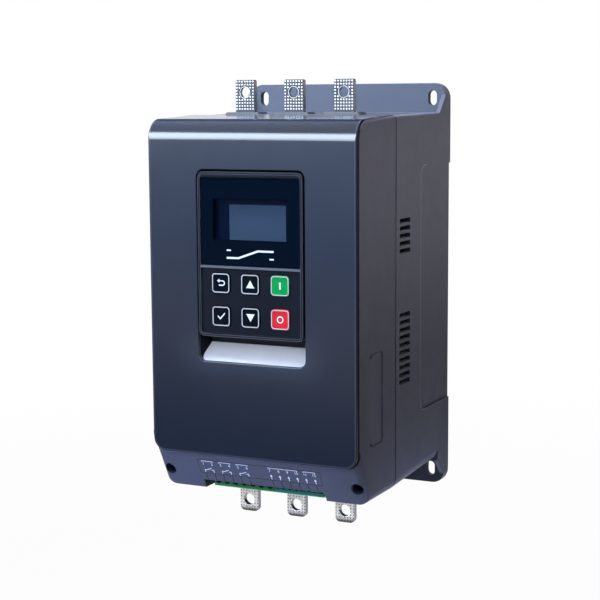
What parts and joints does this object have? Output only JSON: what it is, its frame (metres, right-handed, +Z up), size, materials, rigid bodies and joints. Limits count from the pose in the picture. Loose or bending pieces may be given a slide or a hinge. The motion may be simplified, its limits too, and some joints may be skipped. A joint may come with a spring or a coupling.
{
  "type": "soft starter",
  "caption": "Wall-mounted motor soft starter with a pull-out display keypad, line bars on top, load bars below and plug-in control terminals.",
  "frame": {"origin": "centre of the mounting slots on the back face", "axes": "+Z up, +Y into the wall, +X to the right seen from the front"},
  "size_m": [0.12, 0.1242, 0.2323],
  "materials": {
    "base_plastic": "fine spark-eroded texture",
    "cover_plastic": "polished face, matte cheeks",
    "scoop_grey": "smooth",
    "strip_plastic": "smooth",
    "bar_tin": "tinned copper with a waffle knurl",
    "screw_steel": "zinc plated",
    "sink_aluminium": "extruded",
    "post_brass": "turned",
    "module_resin": "potted",
    "relay_black": "moulded",
    "sensor_resin": "potted",
    "board_laminate": "solder mask",
    "relay_blue": "moulded",
    "winding_tape": "taped",
    "core_ferrite": "sintered",
    "capacitor_sleeve": "shrunk sleeve",
    "chip_resin": "moulded",
    "socket_plastic": "moulded",
    "terminal_green": "moulded",
    "terminal_teal": "moulded",
    "pin_tin": "tinned",
    "bezel_plastic": "polished",
    "lens_glass": "smoked, polished",
    "display_glass": "unlit display",
    "switch_plastic": "moulded",
    "key_black": "polished",
    "key_green": "polished",
    "key_red": "polished"
  },
  "bodies": {
    "housing": {"base_housing": "base_plastic", "front_cover": "cover_plastic", "cover_screws": "screw_steel", "scoop_plate": "scoop_grey", "line_strip": "strip_plastic", "load_strip": "strip_plastic", "line_bar_1": "bar_tin", "line_bar_2": "bar_tin", "line_bar_3": "bar_tin", "load_bar_1": "bar_tin", "load_bar_2": "bar_tin", "load_bar_3": "bar_tin", "heat_sink": "sink_aluminium", "heat_sink_screws": "screw_steel", "thyristor_module_1": "module_resin", "thyristor_module_2": "module_resin", "thyristor_module_3": "module_resin", "module_screws": "screw_steel", "terminal_posts": "post_brass", "bar_bolts": "screw_steel", "bypass_relay_1": "relay_black", "bypass_relay_2": "relay_black", "bypass_relay_3": "relay_black", "current_sensor_1": "sensor_resin", "current_sensor_2": "sensor_resin", "current_sensor_3": "sensor_resin", "control_board": "board_laminate", "board_spacers": "post_brass", "board_screws": "screw_steel", "output_relays": "relay_blue", "pulse_transformers": "winding_tape", "supply_transformer": "core_ferrite", "capacitors": "capacitor_sleeve", "processor": "chip_resin", "keypad_socket": "socket_plastic", "coarse_header": "terminal_green", "coarse_pins": "pin_tin", "fine_header": "terminal_teal", "fine_pins": "pin_tin"},
    "keypad": {"keypad_bezel": "bezel_plastic", "display_lens": "lens_glass", "display_module": "display_glass", "keypad_board": "board_laminate", "tact_switches": "switch_plastic", "keypad_back": "bezel_plastic", "keypad_link": "socket_plastic", "keypad_screws": "screw_steel"},
    "back_key": {"key_back": "key_black"},
    "up_key": {"key_up": "key_black"},
    "run_key": {"key_run": "key_green"},
    "set_key": {"key_set": "key_black"},
    "down_key": {"key_down": "key_black"},
    "stop_key": {"key_stop": "key_red"},
    "coarse_plug": {"coarse_plug": "terminal_green", "coarse_plug_screws": "screw_steel"},
    "fine_plug": {"fine_plug": "terminal_teal", "fine_plug_screws": "screw_steel"}
  },
  "joints": [
    {"name": "keypad_pull", "type": "slide", "parent": "housing", "child": "keypad", "axis": [0, -1, 0], "range_m": [0, 0.03]},
    {"name": "back_key_press", "type": "slide", "parent": "keypad", "child": "back_key", "axis": [0, 1, 0], "range_m": [0, 0.0008], "stiffness_N_per_m": 1500},
    {"name": "up_key_press", "type": "slide", "parent": "keypad", "child": "up_key", "axis": [0, 1, 0], "range_m": [0, 0.0008], "stiffness_N_per_m": 1500},
    {"name": "run_key_press", "type": "slide", "parent": "keypad", "child": "run_key", "axis": [0, 1, 0], "range_m": [0, 0.0008], "stiffness_N_per_m": 1500},
    {"name": "set_key_press", "type": "slide", "parent": "keypad", "child": "set_key", "axis": [0, 1, 0], "range_m": [0, 0.0008], "stiffness_N_per_m": 1500},
    {"name": "down_key_press", "type": "slide", "parent": "keypad", "child": "down_key", "axis": [0, 1, 0], "range_m": [0, 0.0008], "stiffness_N_per_m": 1500},
    {"name": "stop_key_press", "type": "slide", "parent": "keypad", "child": "stop_key", "axis": [0, 1, 0], "range_m": [0, 0.0008], "stiffness_N_per_m": 1500},
    {"name": "coarse_plug_pull", "type": "slide", "parent": "housing", "child": "coarse_plug", "axis": [0, 0, -1], "range_m": [0, 0.013]},
    {"name": "fine_plug_pull", "type": "slide", "parent": "housing", "child": "fine_plug", "axis": [0, 0, -1], "range_m": [0, 0.013]}
  ]
}
